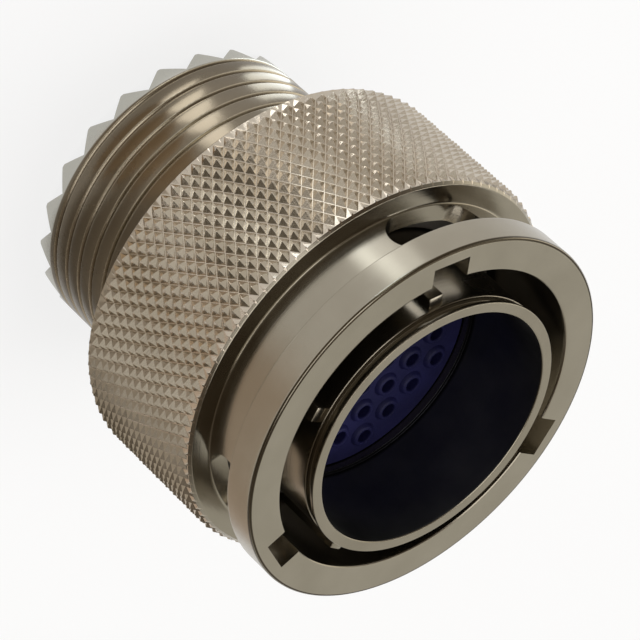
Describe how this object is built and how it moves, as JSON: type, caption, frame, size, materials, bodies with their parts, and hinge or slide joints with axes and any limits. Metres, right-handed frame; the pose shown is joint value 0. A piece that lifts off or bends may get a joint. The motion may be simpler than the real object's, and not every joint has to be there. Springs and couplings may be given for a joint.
{
  "type": "bayonet connector plug",
  "caption": "Circular bayonet connector plug: nickel-plated shell, knurled spring-loaded coupling ring, blue socket insert, threaded and serrated rear end.",
  "frame": {"origin": "on the axis, in the plane of the rear serration tips that the plug stands on", "axes": "+Z along the axis, towards the mating face; -Y towards the side that the picture shows"},
  "size_m": [0.024, 0.024, 0.0234],
  "materials": {
    "shell_nickel": "satin electroless nickel plate",
    "ring_nickel": "satin electroless nickel plate, diamond knurl",
    "spring_steel": "bare spring steel",
    "dark_rubber": "matt",
    "blue_rubber": "smooth moulded",
    "blue_plastic": "moulded",
    "gold_plate": "gold plated"
  },
  "bodies": {
    "shell": {"plug_shell": "shell_nickel", "wave_spring": "spring_steel", "peripheral_seal": "dark_rubber", "face_seal": "blue_rubber", "front_insulator": "blue_plastic", "retention_disc": "blue_plastic", "rear_insulator": "blue_plastic", "wire_grommet": "blue_rubber", "insert_retainer": "spring_steel", "contact_01": "gold_plate", "contact_02": "gold_plate", "contact_03": "gold_plate", "contact_04": "gold_plate", "contact_05": "gold_plate", "contact_06": "gold_plate", "contact_07": "gold_plate", "contact_08": "gold_plate", "contact_09": "gold_plate", "contact_10": "gold_plate", "contact_11": "gold_plate", "contact_12": "gold_plate", "contact_13": "gold_plate", "contact_14": "gold_plate", "contact_15": "gold_plate", "contact_16": "gold_plate", "contact_17": "gold_plate", "contact_18": "gold_plate", "contact_19": "gold_plate", "contact_20": "gold_plate", "contact_21": "gold_plate", "contact_22": "gold_plate", "contact_23": "gold_plate", "contact_24": "gold_plate", "contact_25": "gold_plate", "contact_26": "gold_plate", "contact_27": "gold_plate", "contact_28": "gold_plate", "contact_29": "gold_plate", "contact_30": "gold_plate", "contact_31": "gold_plate", "contact_32": "gold_plate", "contact_33": "gold_plate", "contact_34": "gold_plate", "contact_35": "gold_plate", "contact_36": "gold_plate", "contact_37": "gold_plate"},
    "washer": {"thrust_washer": "spring_steel"},
    "ring": {"coupling_ring": "ring_nickel", "ring_retainer": "spring_steel"}
  },
  "joints": [
    {"name": "ring_push", "type": "slide", "parent": "shell", "child": "washer", "axis": [0, 0, 1], "range_m": [0, 0.0008], "stiffness_N_per_m": 2500, "springref_m": -0.0006, "deforming": ["wave_spring"]},
    {"name": "ring_turn", "type": "hinge", "parent": "washer", "child": "ring", "pos_m": [0, 0, 0], "axis": [0, 0, 1], "continuous": true}
  ]
}
